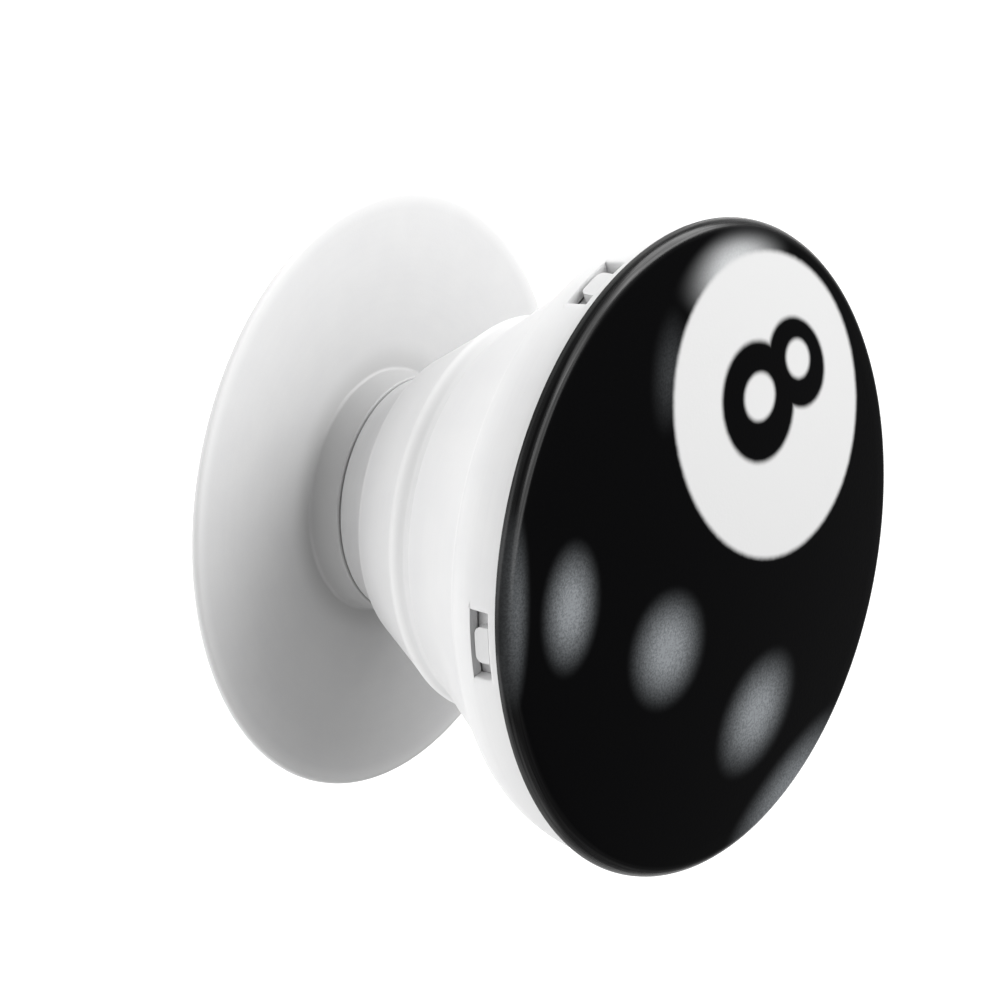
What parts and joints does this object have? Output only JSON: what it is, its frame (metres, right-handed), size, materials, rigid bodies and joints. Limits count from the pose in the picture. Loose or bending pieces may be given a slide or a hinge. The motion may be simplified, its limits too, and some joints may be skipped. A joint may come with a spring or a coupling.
{
  "type": "collapsible phone grip",
  "caption": "Round domed button with a numbered ball print on a folding bellows that swivels and collapses onto a stick-on base disc.",
  "frame": {"origin": "centre of the back face of the adhesive pad, where the grip sticks to a phone or case", "axes": "+Z along the grip's own axis, from the adhesive face towards the printed button; -X through one of the hook windows in the cup ring"},
  "size_m": [0.04, 0.04, 0.0271],
  "materials": {
    "base_plastic": "satin white moulded polycarbonate with a fine spark-eroded grain",
    "button_plastic": "satin white moulded polycarbonate",
    "plug_plastic": "natural white acetal",
    "bellows_rubber": "white thermoplastic elastomer, soft satin",
    "printed_film": "black printed film with a white spot and a black figure, satin clear coat with a fine grain",
    "adhesive": "pale reusable adhesive gel"
  },
  "bodies": {
    "base": {"adhesive_pad": "adhesive", "base_plate": "base_plastic"},
    "neck": {"swivel_plug": "plug_plastic", "neck_ring": "bellows_rubber", "lower_wall": "bellows_rubber"},
    "middle": {"middle_ring": "bellows_rubber", "upper_wall": "bellows_rubber"},
    "button": {"cup_ring": "bellows_rubber", "button": "button_plastic", "face_film": "printed_film"}
  },
  "joints": [
    {"name": "swivel", "type": "hinge", "parent": "base", "child": "neck", "pos_m": [0, 0, 0.0042], "axis": [0, 0, 1], "continuous": true},
    {"name": "lower_fold", "type": "slide", "parent": "neck", "child": "middle", "axis": [0, 0, 1], "range_m": [-0.0085, 0], "deforming": ["lower_wall"]},
    {"name": "upper_fold", "type": "slide", "parent": "middle", "child": "button", "axis": [0, 0, 1], "range_m": [-0.0085, 0], "deforming": ["upper_wall"]}
  ]
}
